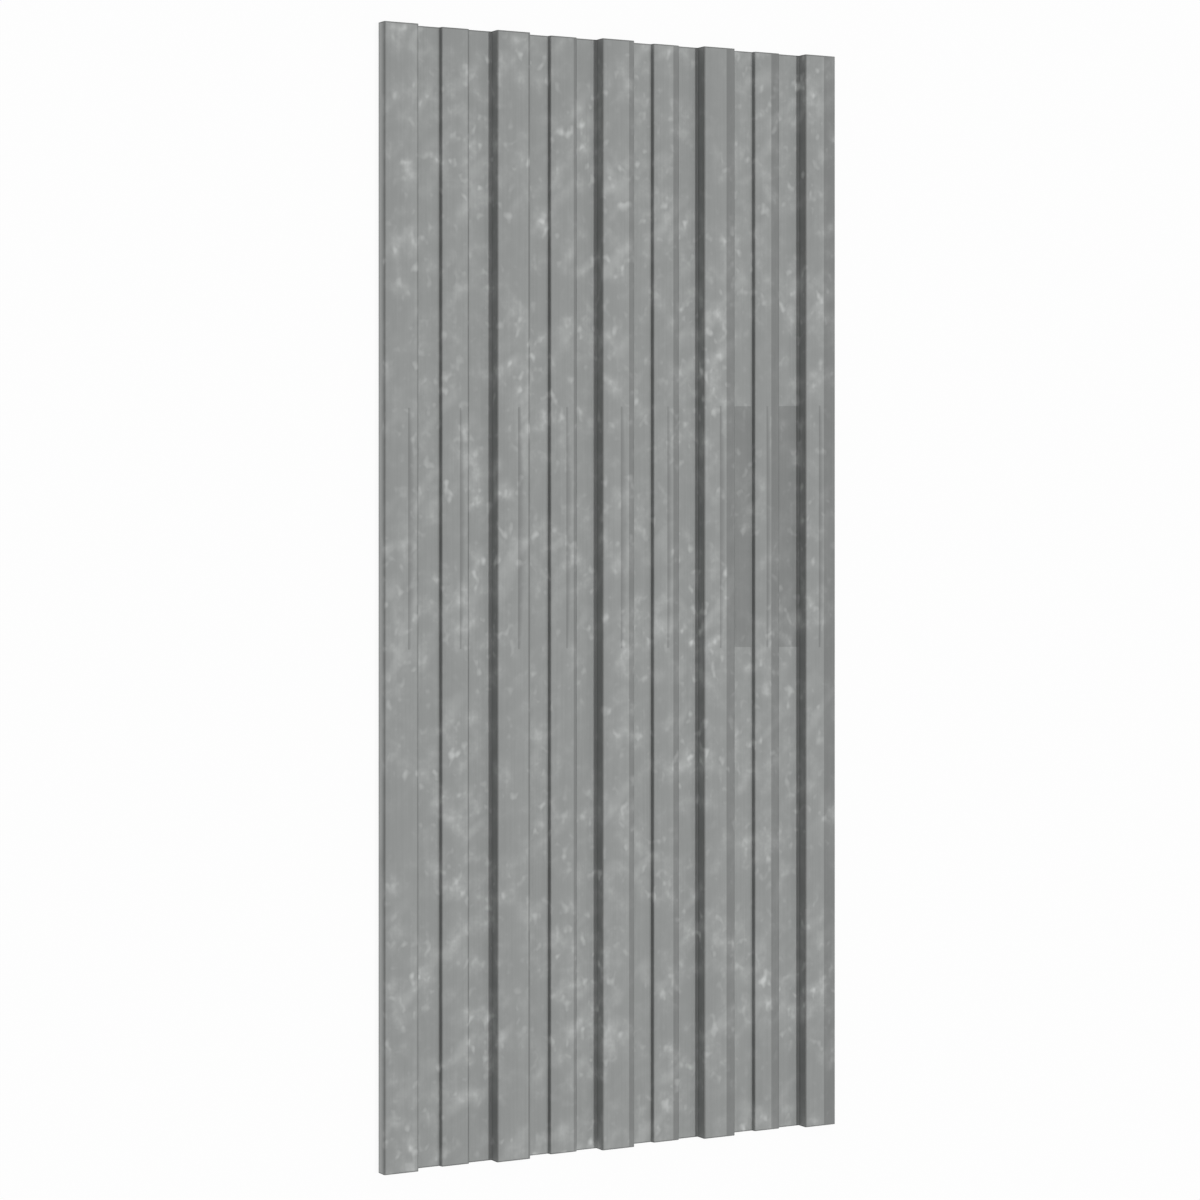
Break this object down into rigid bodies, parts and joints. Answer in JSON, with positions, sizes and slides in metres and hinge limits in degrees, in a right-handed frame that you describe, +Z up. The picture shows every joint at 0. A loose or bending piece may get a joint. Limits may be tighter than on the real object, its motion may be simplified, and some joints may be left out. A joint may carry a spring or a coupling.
{
  "type": "corrugated metal sheet",
  "caption": "Profiled galvanised steel sheet with tall trapezoidal ribs and a low stiffening rib between each pair, for cladding roofs, walls and fences.",
  "frame": {"origin": "on the floor, under the middle of the sheet", "axes": "+X across the ribs, +Y along the ribs and the sheet's length, +Z up, out of the crowns"},
  "size_m": [0.45, 1, 0.0105],
  "materials": {
    "galvanised_steel": "hot-dip galvanised, matt grey with pale bloom and faint streaks along the length"
  },
  "bodies": {
    "root": {"corrugated_sheet": "galvanised_steel"}
  },
  "joints": []
}
